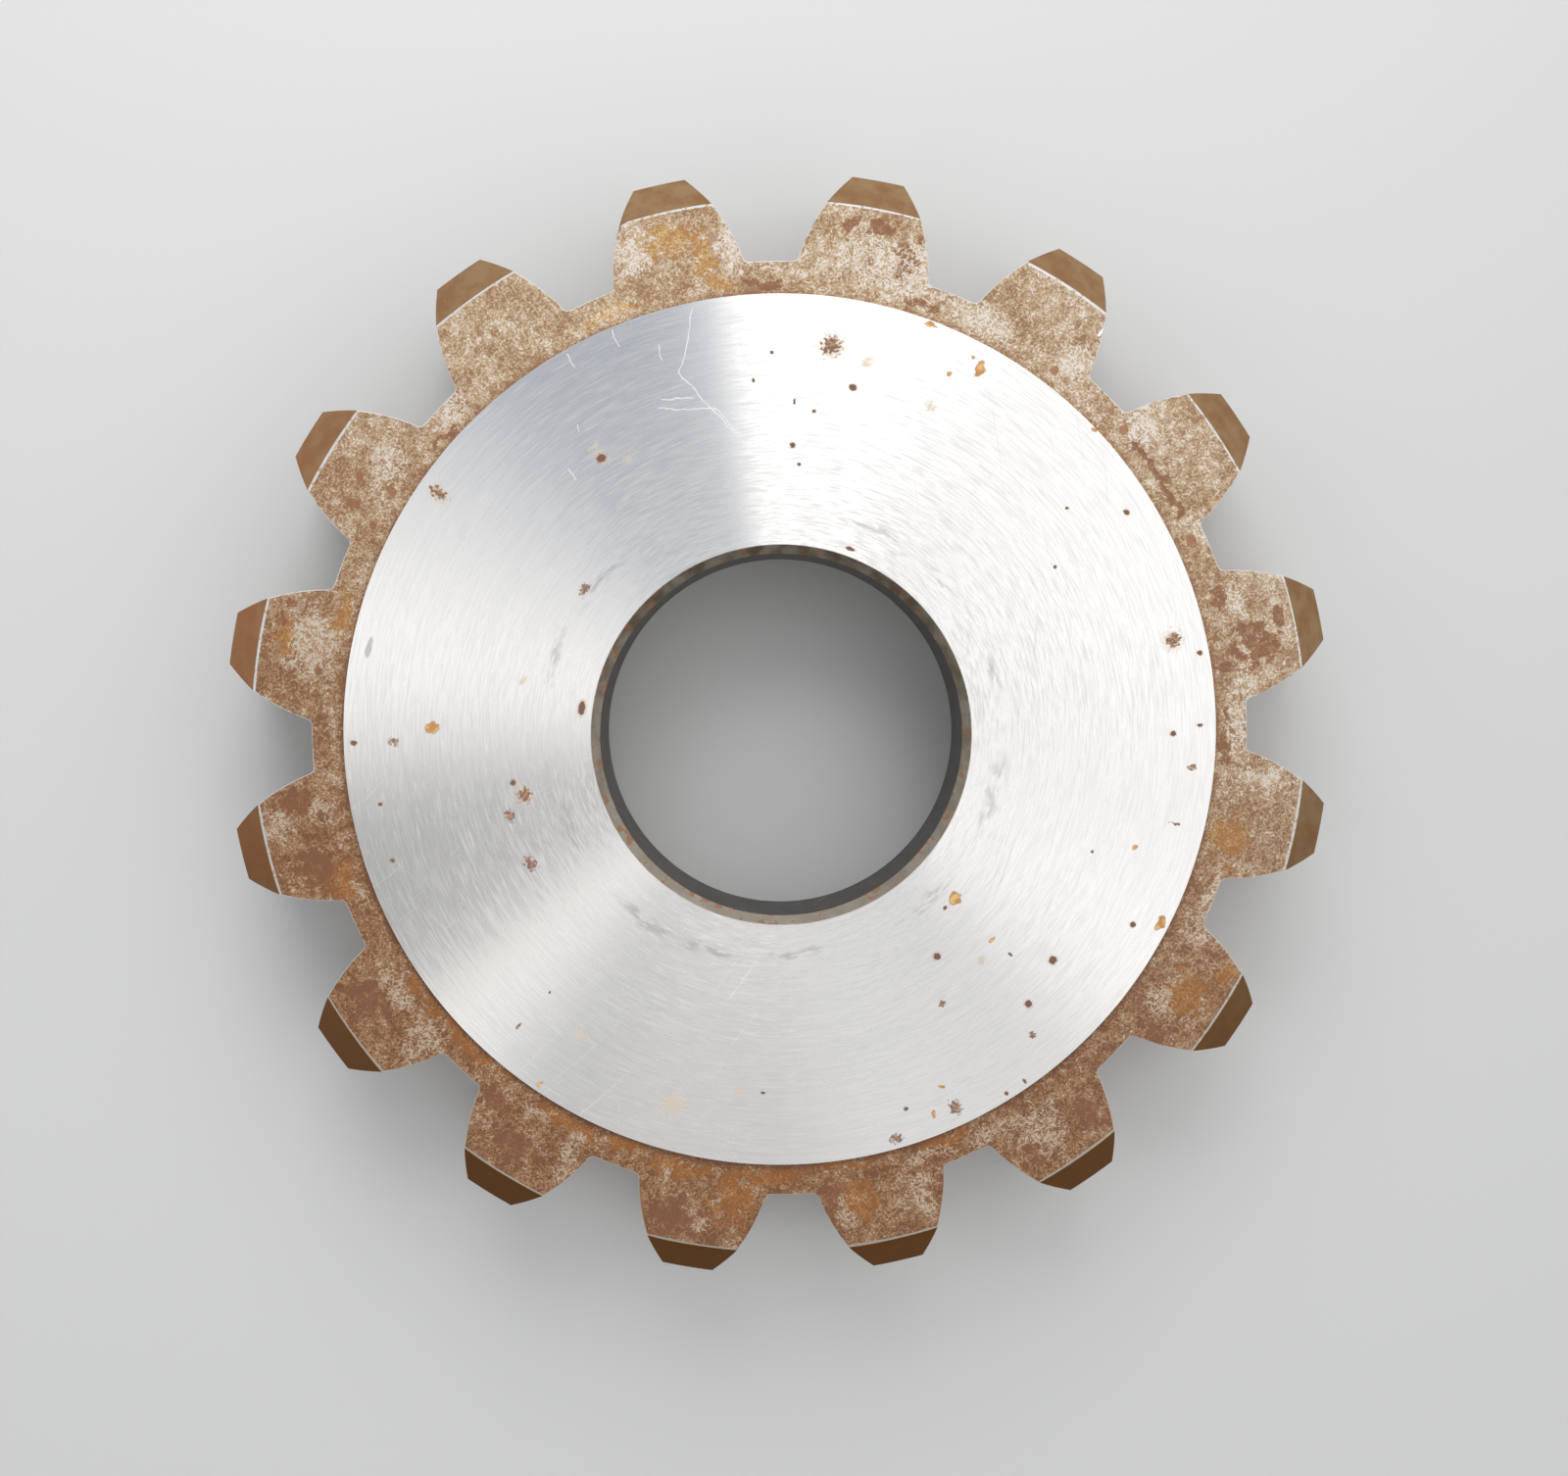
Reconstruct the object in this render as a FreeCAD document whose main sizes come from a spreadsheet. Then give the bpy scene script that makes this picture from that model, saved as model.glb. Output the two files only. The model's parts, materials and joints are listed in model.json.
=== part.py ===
import FreeCAD, Part
import math
import os

import Sketcher

# A disc-type gear shaper cutter (pinion cutter) for coarse involute splines, ground from one blank of
# high-speed steel. It lies on its cutting face: the tips of the cutting edges are at height 0, the
# ground back face is on top, and +Z runs along the bore axis. A tooth is centred on +X.
#
# Every tooth is wedge shaped. Seen from the back face down to the cutting face, the whole tooth form
# moves outward with the top relief, which is what gives the tips, the roots and both flanks their
# clearance behind the cutting edge. Any section across the axis is therefore an involute gear of the
# same base circle with a profile shift of its own.

DIMENSIONS = [
    # name, value, meaning (lengths in millimetres, angles in degrees)
    ("tooth_count", 16, "teeth around the cutter"),
    ("module_size", 8.0, "pitch diameter over the number of teeth"),
    ("pressure_angle", 30.0, "flank angle at the pitch circle"),
    ("tool_addendum", 5.2, "tooth height above the shifted pitch circle, 0.65 of the module"),
    ("tool_dedendum", 6.2, "tooth depth below the shifted pitch circle"),
    ("back_shift", -0.56, "outward shift of the tooth form at the back of the teeth"),
    ("top_relief", 6.0, "angle by which the tooth form grows toward the cutting face"),
    ("root_fillet", 0.8, "radius between a flank and the root"),
    ("thickness", 24.0, "from the cutting edge tips to the ground back face"),
    ("boss_step", 0.6, "height of the ground back face above the back of the teeth"),
    ("boss_diameter", 106.5, "ground back face"),
    ("bevel_radius", 64.4, "outer radius of the back of the teeth, where the tip bevel starts"),
    ("bevel_height", 4.1, "length of the tip bevel along the axis"),
    ("bore_diameter", 44.45, "one and three quarter inches, the usual bore of this cutter size"),
    ("bore_chamfer", 1.0, "both ends of the bore"),
    ("bore_land", 12.5, "thickness of the web that holds the bore"),
    ("recess_diameter", 80.0, "recess for the clamping nut in the cutting face"),
    ("recess_fillet", 2.0, "corner between the recess wall and its floor"),
    ("recess_chamfer", 0.8, "edge between the recess wall and the cutting face"),
    ("rake_angle", 5.0, "slope of the dished cutting face"),
    ("section_overrun", 1.0, "how far the tooth gaps are cut past both faces and past the tips"),
]

FLANK_POINTS = 9  # places on each involute that its spline runs through


def make_sheet(doc):
    """Writes the driving dimensions to a spreadsheet, one alias a row."""
    sheet = doc.addObject("Spreadsheet::Sheet", "dimensions")
    for row, (name, value, meaning) in enumerate(DIMENSIONS, start=1):
        sheet.set(f"A{row}", name)
        sheet.set(f"B{row}", str(value))
        sheet.setAlias(f"B{row}", name)
        sheet.set(f"C{row}", meaning)
    doc.recompute()
    return sheet


def origin_feature(body, role):
    """The body's own origin plane or axis with that role."""
    return next(feature for feature in body.Origin.OriginFeatures if feature.Role == role)


def new_sketch(body, name, plane):
    sketch = body.newObject("Sketcher::SketchObject", name)
    sketch.AttachmentSupport = (origin_feature(body, plane), [""])
    sketch.MapMode = "FlatFace"
    return sketch


def polar(radius, angle):
    return FreeCAD.Vector(radius * math.cos(angle), radius * math.sin(angle), 0)


# Heights and radii of the turned blank, as formulas of the sheet.
RIM_TOP = "(dimensions.thickness - dimensions.boss_step)"
TIP_AT_BACK = (
    "(dimensions.tooth_count * dimensions.module_size / 2 + dimensions.back_shift"
    " + dimensions.tool_addendum)"
)
TIP_AT_BEVEL = f"({TIP_AT_BACK} + dimensions.bevel_height * tan(dimensions.top_relief * 1 deg))"
TIP_AT_EDGE = f"({TIP_AT_BACK} + {RIM_TOP} * tan(dimensions.top_relief * 1 deg))"
RECESS_RADIUS = "(dimensions.recess_diameter / 2)"
RECESS_FLOOR = "(dimensions.thickness - dimensions.bore_land)"
DISH_HEIGHT = f"(({TIP_AT_EDGE} - {RECESS_RADIUS}) * tan(dimensions.rake_angle * 1 deg))"

# Half section of the blank before its corners are broken: radius and height of each corner, from
# the cutting edge up the outside, in over the back face, down the bore and out through the recess.
BLANK_CORNERS = [
    (TIP_AT_EDGE, "0"),
    (TIP_AT_BEVEL, f"{RIM_TOP} - dimensions.bevel_height"),
    ("dimensions.bevel_radius", RIM_TOP),
    ("dimensions.boss_diameter / 2", RIM_TOP),
    ("dimensions.boss_diameter / 2", "dimensions.thickness"),
    ("dimensions.bore_diameter / 2", "dimensions.thickness"),
    ("dimensions.bore_diameter / 2", RECESS_FLOOR),
    (RECESS_RADIUS, RECESS_FLOOR),
    (RECESS_RADIUS, DISH_HEIGHT),
]


def draw_outline(sketch, corners):
    """Draws straight lines round the corners and ties each corner to its two formulas."""
    places = [FreeCAD.Vector(*(sketch.evalExpression(text) for text in corner), 0) for corner in corners]
    count = len(places)
    for i in range(count):
        sketch.addGeometry(Part.LineSegment(places[i], places[(i + 1) % count]), False)
    for i in range(count):
        sketch.addConstraint(Sketcher.Constraint("Coincident", i, 2, (i + 1) % count, 1))
    origin, start_point, horizontal_axis = -1, 1, -1
    for i, (radius_text, height_text) in enumerate(corners):
        across = Sketcher.Constraint("DistanceX", origin, 1, i, start_point, places[i].x)
        sketch.setExpression(f"Constraints[{sketch.addConstraint(across)}]", radius_text)
        if places[i].y == 0:
            sketch.addConstraint(Sketcher.Constraint("PointOnObject", i, start_point, horizontal_axis))
            continue
        upward = Sketcher.Constraint("DistanceY", origin, 1, i, start_point, places[i].y)
        sketch.setExpression(f"Constraints[{sketch.addConstraint(upward)}]", height_text)


def turned_blank(body):
    """The blank as it leaves the lathe, its half section turned about the bore axis."""
    section = new_sketch(body, "blank_section", "XZ_Plane")
    draw_outline(section, BLANK_CORNERS)
    blank = body.newObject("PartDesign::Revolution", "blank")
    blank.Profile = section
    blank.ReferenceAxis = (section, ["V_Axis"])
    blank.Angle = 360
    body.Document.recompute()
    return blank


def circle_edges(shape, radius, heights):
    """Names of the shape's circular edges of that radius at those heights."""
    return [
        f"Edge{number}"
        for number, edge in enumerate(shape.Edges, start=1)
        if edge.Curve.TypeId == "Part::GeomCircle"
        and math.isclose(edge.Curve.Radius, radius, abs_tol=1e-4)
        and any(math.isclose(edge.Curve.Center.z, height, abs_tol=1e-4) for height in heights)
    ]


def broken_edge(body, kind, name, base, edges, size_name):
    """Breaks the named edges of the base feature with a chamfer or a fillet of the sheet's size."""
    feature = body.newObject(f"PartDesign::{kind}", name)
    feature.Base = (base, edges)
    feature.setExpression("Radius" if kind == "Fillet" else "Size", f"dimensions.{size_name}")
    body.Document.recompute()
    return feature


def gap_section(body, sheet, name, height_text):
    """One section of a tooth gap, the space between two teeth, at the given height."""
    sketch = new_sketch(body, name, "XY_Plane")
    sketch.setExpression("AttachmentOffset.Base.z", height_text)
    sketch.AttachmentOffset = FreeCAD.Placement(
        FreeCAD.Vector(), FreeCAD.Rotation(FreeCAD.Vector(0, 0, 1), 180 / sheet.tooth_count)
    )
    height = float(sketch.evalExpression(height_text))

    # Tooth form of this section. The gap opens outward from its centre line, the sketch's own +X.
    pressure_angle = math.radians(sheet.pressure_angle)
    pitch_radius = sheet.tooth_count * sheet.module_size / 2
    base_radius = pitch_radius * math.cos(pressure_angle)
    depth_below_back = sheet.thickness - sheet.boss_step - height
    shift = sheet.back_shift + depth_below_back * math.tan(math.radians(sheet.top_relief))
    root_radius = pitch_radius + shift - sheet.tool_dedendum
    outer_radius = pitch_radius + shift + sheet.tool_addendum + sheet.section_overrun
    half_tooth_at_pitch = math.pi / (2 * sheet.tooth_count) + shift * math.tan(pressure_angle) / pitch_radius
    half_tooth_at_base = half_tooth_at_pitch + math.tan(pressure_angle) - pressure_angle
    half_gap_at_base = math.pi / sheet.tooth_count - half_tooth_at_base

    def involute(roll):
        """The flank's point where its tangent to the base circle has turned through the roll angle."""
        return polar(base_radius * math.hypot(1, roll), half_gap_at_base + roll - math.atan(roll))

    # The fillet's centre is one fillet radius away from the root circle and from the flank, and a
    # curve at a fixed distance from an involute is an involute of the same base circle.
    centre_radius = root_radius + sheet.root_fillet
    tangent_length = math.sqrt(centre_radius**2 - base_radius**2)
    flank_start = (tangent_length - sheet.root_fillet) / base_radius
    flank_end = math.sqrt((outer_radius / base_radius) ** 2 - 1)
    centre_angle = half_gap_at_base + flank_start - math.atan(tangent_length / base_radius)
    toward_root = centre_angle + math.pi
    toward_flank = half_gap_at_base + flank_start + math.pi / 2

    rolls = [flank_start + (flank_end - flank_start) * i / (FLANK_POINTS - 1) for i in range(FLANK_POINTS)]
    upper_flank = [involute(roll) for roll in rolls]
    root_end = polar(root_radius, centre_angle)
    fillet_centre = polar(centre_radius, centre_angle)
    fillet_middle = fillet_centre + polar(sheet.root_fillet, (toward_root + toward_flank) / 2)

    def mirrored(point):
        return FreeCAD.Vector(point.x, -point.y, 0)

    def spline(points):
        curve = Part.BSplineCurve()
        curve.interpolate(points)
        return curve

    outline = [
        Part.Arc(mirrored(root_end), FreeCAD.Vector(root_radius, 0, 0), root_end),
        Part.Arc(root_end, fillet_middle, upper_flank[0]),
        spline(upper_flank),
        Part.Arc(upper_flank[-1], FreeCAD.Vector(outer_radius, 0, 0), mirrored(upper_flank[-1])),
        spline([mirrored(point) for point in reversed(upper_flank)]),
        Part.Arc(mirrored(upper_flank[0]), mirrored(fillet_middle), mirrored(root_end)),
    ]
    for curve in outline:
        sketch.addConstraint(Sketcher.Constraint("Block", sketch.addGeometry(curve, False)))
    return sketch


def toothed(body, sheet):
    """Cuts one tooth gap through the blank and repeats it round the bore axis."""
    overrun = "dimensions.section_overrun"
    lower = gap_section(body, sheet, "gap_below_cutting_face", f"-{overrun}")
    upper = gap_section(body, sheet, "gap_above_back_face", f"dimensions.thickness + {overrun}")
    body.Document.recompute()
    gap = body.newObject("PartDesign::SubtractiveLoft", "tooth_gap")
    gap.Profile = (lower, [""])
    gap.Sections = [(upper, [""])]
    gap.Ruled = True
    body.Document.recompute()
    gaps = body.newObject("PartDesign::PolarPattern", "tooth_gaps")
    gaps.Originals = [gap]
    gaps.Axis = (origin_feature(body, "Z_Axis"), [""])
    gaps.Angle = 360
    gaps.setExpression("Occurrences", "dimensions.tooth_count")
    body.Tip = gaps
    body.Document.recompute()


def make_cutter(doc, sheet):
    body = doc.addObject("PartDesign::Body", "shaper_cutter")
    body.Label = "shaper_cutter"
    body.Placement = FreeCAD.Placement()
    blank = turned_blank(body)
    recess_floor = sheet.thickness - sheet.bore_land
    bore_ends = circle_edges(blank.Shape, sheet.bore_diameter / 2, (recess_floor, sheet.thickness))
    chamfered = broken_edge(body, "Chamfer", "bore_chamfers", blank, bore_ends, "bore_chamfer")
    recess_corner = circle_edges(chamfered.Shape, sheet.recess_diameter / 2, (recess_floor,))
    filleted = broken_edge(body, "Fillet", "recess_corner", chamfered, recess_corner, "recess_fillet")
    dish_height = body.evalExpression(DISH_HEIGHT)
    recess_mouth = circle_edges(filleted.Shape, sheet.recess_diameter / 2, (dish_height,))
    broken_edge(body, "Chamfer", "recess_mouth", filleted, recess_mouth, "recess_chamfer")
    toothed(body, sheet)
    return body


def check(doc, parts):
    """Stops before anything is written if an object failed or a shape isn't one valid solid."""
    failed = [o.Name for o in doc.Objects if {"Invalid", "Error"} & set(o.State)]
    if failed:
        raise RuntimeError(f"these objects failed to recompute: {failed}")
    for part in parts:
        if part.Shape.isNull() or not part.Shape.isValid() or len(part.Shape.Solids) != 1:
            raise RuntimeError(f"{part.Label} isn't one valid solid")


def main():
    doc = FreeCAD.newDocument("gear_shaper_cutter")
    sheet = make_sheet(doc)
    parts = [make_cutter(doc, sheet)]
    check(doc, parts)
    os.makedirs("parts", exist_ok=True)
    for part in parts:
        part.Shape.exportStep(f"parts/{part.Label}.step")
        box = part.Shape.optimalBoundingBox()
        print(f"{part.Label}: {box.XLength:.2f} x {box.YLength:.2f} x {box.ZLength:.2f} mm,", end=" ")
        print(f"{part.Shape.Volume / 1000:.1f} cm3, {len(part.Shape.Faces)} faces")


main()
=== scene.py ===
"""The looks of a disc-type gear shaper cutter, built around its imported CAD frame.

The cutter lies on its cutting face with the ground back face up. Metres, +Z up, a tooth on +X.
"""

import json
import math

import bpy
import numpy as np
from mathutils import Matrix


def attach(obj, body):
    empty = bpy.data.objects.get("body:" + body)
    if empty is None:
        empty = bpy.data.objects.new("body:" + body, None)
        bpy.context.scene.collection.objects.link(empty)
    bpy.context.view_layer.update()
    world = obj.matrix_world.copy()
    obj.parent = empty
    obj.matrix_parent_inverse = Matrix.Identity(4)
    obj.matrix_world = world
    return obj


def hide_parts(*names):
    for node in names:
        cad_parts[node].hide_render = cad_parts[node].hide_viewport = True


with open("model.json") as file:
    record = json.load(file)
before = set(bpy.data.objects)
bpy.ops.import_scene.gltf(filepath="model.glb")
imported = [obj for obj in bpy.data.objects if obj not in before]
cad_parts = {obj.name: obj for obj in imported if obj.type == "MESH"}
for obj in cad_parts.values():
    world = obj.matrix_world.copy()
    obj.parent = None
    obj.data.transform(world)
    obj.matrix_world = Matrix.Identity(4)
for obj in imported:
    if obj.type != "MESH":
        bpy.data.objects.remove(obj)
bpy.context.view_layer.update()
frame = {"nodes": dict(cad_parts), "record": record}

MM = 0.001
NODE = "shaper_cutter"

# ---------------------------------------------------------------- sizes
# The tooth form, the relief and the small radii, as in the part's design.
TEETH = 16
HALF_PITCH = math.pi / TEETH
MODULE = 8.0 * MM
PRESSURE_ANGLE = math.radians(30)
PITCH_RADIUS = TEETH * MODULE / 2
BASE_RADIUS = PITCH_RADIUS * math.cos(PRESSURE_ANGLE)
ADDENDUM = 0.65 * MODULE
RELIEF = math.tan(math.radians(6))
RAKE = math.tan(math.radians(5))
ROOT_FILLET = 0.8 * MM
RECESS_FILLET = 2.0 * MM
RECESS_MOUTH = 0.8 * MM

# The rest is read from the frame: its mounts, and the corners of the CAD mesh.
CLOSE = 0.02 * MM  # how near to a surface a corner counts as on it
mounts = {mount["name"]: mount for mount in frame["record"]["mounts"]}
corners = np.array([v.co for v in frame["nodes"][NODE].data.vertices])
corner_radius = np.hypot(corners[:, 0], corners[:, 1])
corner_height = corners[:, 2]

TOP = float(corner_height.max())
BOSS = float(corner_radius[corner_height > TOP - CLOSE].max())
RIM = float(corner_height[corner_radius > BOSS + CLOSE].max())
on_ring = (corner_height > RIM - CLOSE) & (corner_radius > BOSS + CLOSE)
BACK_TIP = float(corner_radius[on_ring].max())
BACK_ROOT = float(corner_radius[on_ring].min())
EDGE_TIP = float(corner_radius.max())
on_tips = abs(corner_radius - (EDGE_TIP - corner_height * RELIEF)) < CLOSE
BEVEL_FOOT = float(corner_height[on_tips].max())
FOOT_TIP = EDGE_TIP - BEVEL_FOOT * RELIEF  # tip radius at the foot of the bevel
BORE = mounts["bore"]["dims"]["r_mm"] * MM
BORE_MIDDLE = mounts["bore"]["pos_m"][2]
BORE_HALF = mounts["bore"]["dims"]["length_mm"] * MM / 2
BORE_CHAMFER = TOP - BORE_MIDDLE - BORE_HALF
RECESS_FLOOR = mounts["nut_seat"]["pos_m"][2]
in_recess = (corner_radius < BACK_ROOT - CLOSE) & (corner_height < RECESS_FLOOR - CLOSE)
RECESS = float(corner_radius[in_recess & (corner_height > RECESS_FLOOR / 2)].max())
BACK_SHIFT = EDGE_TIP - RIM * RELIEF - ADDENDUM - PITCH_RADIUS
DEDENDUM = PITCH_RADIUS + BACK_SHIFT - BACK_ROOT

# Wear, which the CAD doesn't have: the bright line along the back edge, and one knocked tooth corner.
TIP_WEAR = 0.15 * MM
FLANK_WEAR = 0.09 * MM
LIP = 0.06 * MM  # the finest edge break, on the boss and the bore
NICK_CORNER = math.radians(95.4)
NICK_TURN = math.radians(50)  # of the planed-off face, from the corner's own direction
NICK_DEPTH = 0.55 * MM
NICK_LEAN = 0.5  # outward for each height below the back edge
NICK_REACH = 4 * MM

# ---------------------------------------------------------------- the cutter's mesh
ROOT, FILLET, FLANK, TIP = range(4)
STEPS = {ROOT: 4, FILLET: 4, FLANK: 12, TIP: 5}  # mesh steps along each part of half a tooth
SHARP_ANGLE = math.radians(24)
MATERIALS = ["ground_face", "tooth_back", "tip_bevel", "flank", "chamfer", "bore", "cutting_face", "recess",
             "worn_edge"]
SLOT = {name: i for i, name in enumerate(MATERIALS)}

# The points of the outline, from the middle of one gap to the next: the part each is on, how far along it,
# and whether it is on the mirrored half.
half = [(part, i / count) for part, count in STEPS.items() for i in range(count)] + [(TIP, 1.0)]
one_pitch = [(part, along, False) for part, along in half]
one_pitch += [(part, along, True) for part, along in half[-2:0:-1]]
around = len(one_pitch) * TEETH
part_of = np.array([step[0] for step in one_pitch] * TEETH)
along_of = np.array([step[1] for step in one_pitch] * TEETH)
mirrored = np.array([step[2] for step in one_pitch] * TEETH)
gap_centre = HALF_PITCH + 2 * HALF_PITCH * np.repeat(np.arange(TEETH), len(one_pitch))
even_angle = HALF_PITCH + 2 * math.pi * np.arange(around) / around


def direction(angle):
    return np.array([math.cos(angle), math.sin(angle)])


def circle(radius, angles=even_angle):
    return np.stack([radius * np.cos(angles), radius * np.sin(angles)], 1)


def between(first, second, rows):
    """Even steps from just after the first up to the second: heights, radii or whole rows of points."""
    return [first + (second - first) * share for share in np.linspace(0, 1, rows + 1)[1:]]


def rake_height(radius):
    """Height of the dished cutting face."""
    return (EDGE_TIP - radius) * RAKE


def outline(height):
    """The tooth outline at a height, one height for all points or one for each: (x, y) of every point."""
    height = np.broadcast_to(np.asarray(height, float), around)
    shift = BACK_SHIFT + (RIM - height) * RELIEF
    root = PITCH_RADIUS + shift - DEDENDUM
    bevel = BACK_TIP + (RIM - height) * (FOOT_TIP - BACK_TIP) / (RIM - BEVEL_FOOT)
    tip = np.minimum(PITCH_RADIUS + shift + ADDENDUM, bevel)

    half_tooth = HALF_PITCH / 2 + shift * math.tan(PRESSURE_ANGLE) / PITCH_RADIUS
    gap_at_base = HALF_PITCH - half_tooth - math.tan(PRESSURE_ANGLE) + PRESSURE_ANGLE
    tangent = np.sqrt((root + ROOT_FILLET) ** 2 - BASE_RADIUS**2)
    first_roll = (tangent - ROOT_FILLET) / BASE_RADIUS
    last_roll = np.sqrt((tip / BASE_RADIUS) ** 2 - 1)
    roll = first_roll + (last_roll - first_roll) * along_of
    tip_angle = gap_at_base + last_roll - np.arctan(last_roll)
    fillet_angle = gap_at_base + first_roll - np.arctan(tangent / BASE_RADIUS)
    fillet_start = fillet_angle + math.pi
    fillet_end = math.pi / 2 + gap_at_base + first_roll
    fillet_turn = fillet_start + (fillet_end - fillet_start) * along_of

    radius = np.choose(part_of, [root, root + ROOT_FILLET, BASE_RADIUS * np.hypot(1, roll), tip])
    angle = np.choose(part_of, [
        fillet_angle * along_of,
        fillet_angle,
        gap_at_base + roll - np.arctan(roll),
        tip_angle + (HALF_PITCH - tip_angle) * along_of,
    ])
    x, y = radius * np.cos(angle), radius * np.sin(angle)
    on_fillet = part_of == FILLET
    x = np.where(on_fillet, x + ROOT_FILLET * np.cos(fillet_turn), x)
    y = np.where(on_fillet, y + ROOT_FILLET * np.sin(fillet_turn), y)
    radius, angle = np.hypot(x, y), np.arctan2(y, x)
    return circle(radius, gap_centre + np.where(mirrored, 2 * HALF_PITCH - angle, angle))


def inset(points, width):
    """The outline moved inward by a width of its own at each point."""
    ahead = np.roll(points, -1, 0) - np.roll(points, 1, 0)
    ahead /= np.linalg.norm(ahead, axis=1)[:, None]
    return points + np.stack([-ahead[:, 1], ahead[:, 0]], 1) * width[:, None]


def smoothed(values, kernel):
    """Values round the outline, averaged over their neighbours."""
    return np.convolve(np.tile(values, 3), kernel / kernel.sum(), "same")[around:2 * around]


def soft_noise(rng, span):
    """A smooth random wave round the outline, from -1 to 1, that wanders over so many points."""
    wave = smoothed(rng.standard_normal(around), np.hanning(span))
    return wave / abs(wave).max()


def edge_wear():
    """Width of the worn bright line along the back edge: broad on the tips, faint on the flanks."""
    rng = np.random.default_rng(11)
    width = smoothed(np.where(part_of == TIP, TIP_WEAR, FLANK_WEAR), np.ones(3))
    return width * (1 + 0.35 * soft_noise(rng, 9) + 0.25 * soft_noise(rng, 41))


def nicked(points, height):
    """The outline with one knocked corner planed off: the plane leans outward below the back edge."""
    facing = direction(NICK_CORNER + NICK_TURN)
    limit = BACK_TIP * math.cos(NICK_TURN) - NICK_DEPTH + (RIM - height) * NICK_LEAN
    beyond = points @ facing - limit
    near = np.linalg.norm(points - BACK_TIP * direction(NICK_CORNER), axis=1) < NICK_REACH
    return points - np.where((beyond > 0) & near, beyond, 0)[:, None] * facing


def cutting_edge():
    """The outline where the flanks and tips meet the dished cutting face, and its heights."""
    height = np.zeros(around)
    for _ in range(6):  # each round moves the height less, and six settle it
        points = outline(height)
        height = rake_height(np.hypot(points[:, 0], points[:, 1]))
    return points, height


class Skin:
    """Rows of points round the axis, joined into one closed mesh."""

    def __init__(self):
        self.points, self.faces, self.slots = [], [], []

    def row(self, xy, height, material=None):
        """Adds a row and joins it to the row before, in one material or in one for each point."""
        self.points.append(np.column_stack([xy, np.broadcast_to(height, around)]))
        if material is not None:
            self.join(len(self.points) - 2, len(self.points) - 1, material)

    def join(self, first_row, second_row, material):
        first, second = first_row * around, second_row * around
        i = np.arange(around)
        j = (i + 1) % around
        self.faces.append(np.stack([first + i, first + j, second + j, second + i], 1))
        self.slots.append([SLOT[name] for name in np.broadcast_to(material, around)])

    def close(self, material):
        """Joins the last row to the first."""
        self.join(len(self.points) - 1, 0, material)

    def mesh(self, name):
        mesh = bpy.data.meshes.new(name)
        mesh.from_pydata(np.concatenate(self.points).tolist(), [], np.concatenate(self.faces).tolist())
        mesh.polygons.foreach_set("material_index", np.concatenate(self.slots).astype(np.int32))
        mesh.polygons.foreach_set("use_smooth", np.ones(len(mesh.polygons), bool))
        mesh.set_sharp_from_angle(angle=SHARP_ANGLE)
        mesh.validate()
        mesh.update()
        return mesh


def cutter_mesh():
    skin = Skin()
    edge, edge_height = cutting_edge()
    wear = edge_wear()

    # Flanks, tips and roots, from the cutting edge up to the back, then the worn edge.
    skin.row(edge, edge_height)
    for height in between(edge_height, BEVEL_FOOT, rows=10):
        skin.row(outline(height), height, "flank")
    bevel_or_flank = np.where(part_of == TIP, "tip_bevel", "flank")
    for height in between(BEVEL_FOOT, RIM - wear, rows=4):
        skin.row(nicked(outline(height), height), height, bevel_or_flank)
    back = nicked(inset(outline(RIM), wear), RIM)
    skin.row(back, RIM, "worn_edge")

    # Back of the teeth, in to the foot of the boss, then the boss and its ground face.
    lead = np.angle((back[:, 0] + 1j * back[:, 1]) * np.exp(-1j * even_angle))
    foot = circle(BOSS, even_angle + lead / 2)
    spokes = foot / BOSS
    for row in between(back, foot, rows=6):
        skin.row(row, RIM, "tooth_back")
    skin.row(foot, TOP - LIP, "tooth_back")
    skin.row(spokes * (BOSS - LIP), TOP, "ground_face")
    for radius in between(BOSS - LIP, BORE + BORE_CHAMFER + LIP, rows=10):
        skin.row(spokes * radius, TOP, "ground_face")

    # Bore: chamfer, wall, chamfer.
    skin.row(spokes * (BORE + BORE_CHAMFER), TOP - LIP, "worn_edge")
    skin.row(spokes * BORE, TOP - BORE_CHAMFER, "chamfer")
    for height in between(TOP - BORE_CHAMFER, BORE_MIDDLE - BORE_HALF, rows=4):
        skin.row(spokes * BORE, height, "bore")
    skin.row(spokes * (BORE + BORE_CHAMFER), RECESS_FLOOR, "chamfer")

    # Recess: floor, rounded corner, wall and mouth, then the dished cutting face.
    for radius in between(BORE + BORE_CHAMFER, RECESS - RECESS_FILLET, rows=4):
        skin.row(spokes * radius, RECESS_FLOOR, "recess")
    for turn in between(0, math.pi / 2, rows=5):
        radius = RECESS - RECESS_FILLET * (1 - math.sin(turn))
        skin.row(spokes * radius, RECESS_FLOOR - RECESS_FILLET * (1 - math.cos(turn)), "recess")
    mouth_height = rake_height(RECESS) + RECESS_MOUTH
    for height in between(RECESS_FLOOR - RECESS_FILLET, mouth_height, rows=3):
        skin.row(spokes * RECESS, height, "recess")
    mouth = RECESS + RECESS_MOUTH
    skin.row(spokes * mouth, rake_height(mouth), "recess")
    for row in between(spokes * mouth, edge, rows=8)[:-1]:
        skin.row(row, rake_height(np.hypot(row[:, 0], row[:, 1])), "cutting_face")
    skin.close("cutting_face")
    return skin.mesh("cutter")


# ---------------------------------------------------------------- marks on the back
# A mark is an azimuth, a radius, a half size round the axis and a half size outward: degrees, then
# millimetres. It is listed where the view shows it, about the middle of the boss's outline, and the tilted
# view puts that off the boss's centre.
CUT = 172.5  # where the materials' count of degrees starts and ends, clear of all marks
VIEW_STRETCH = 0.00033  # per millimetre toward +Y


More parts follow.
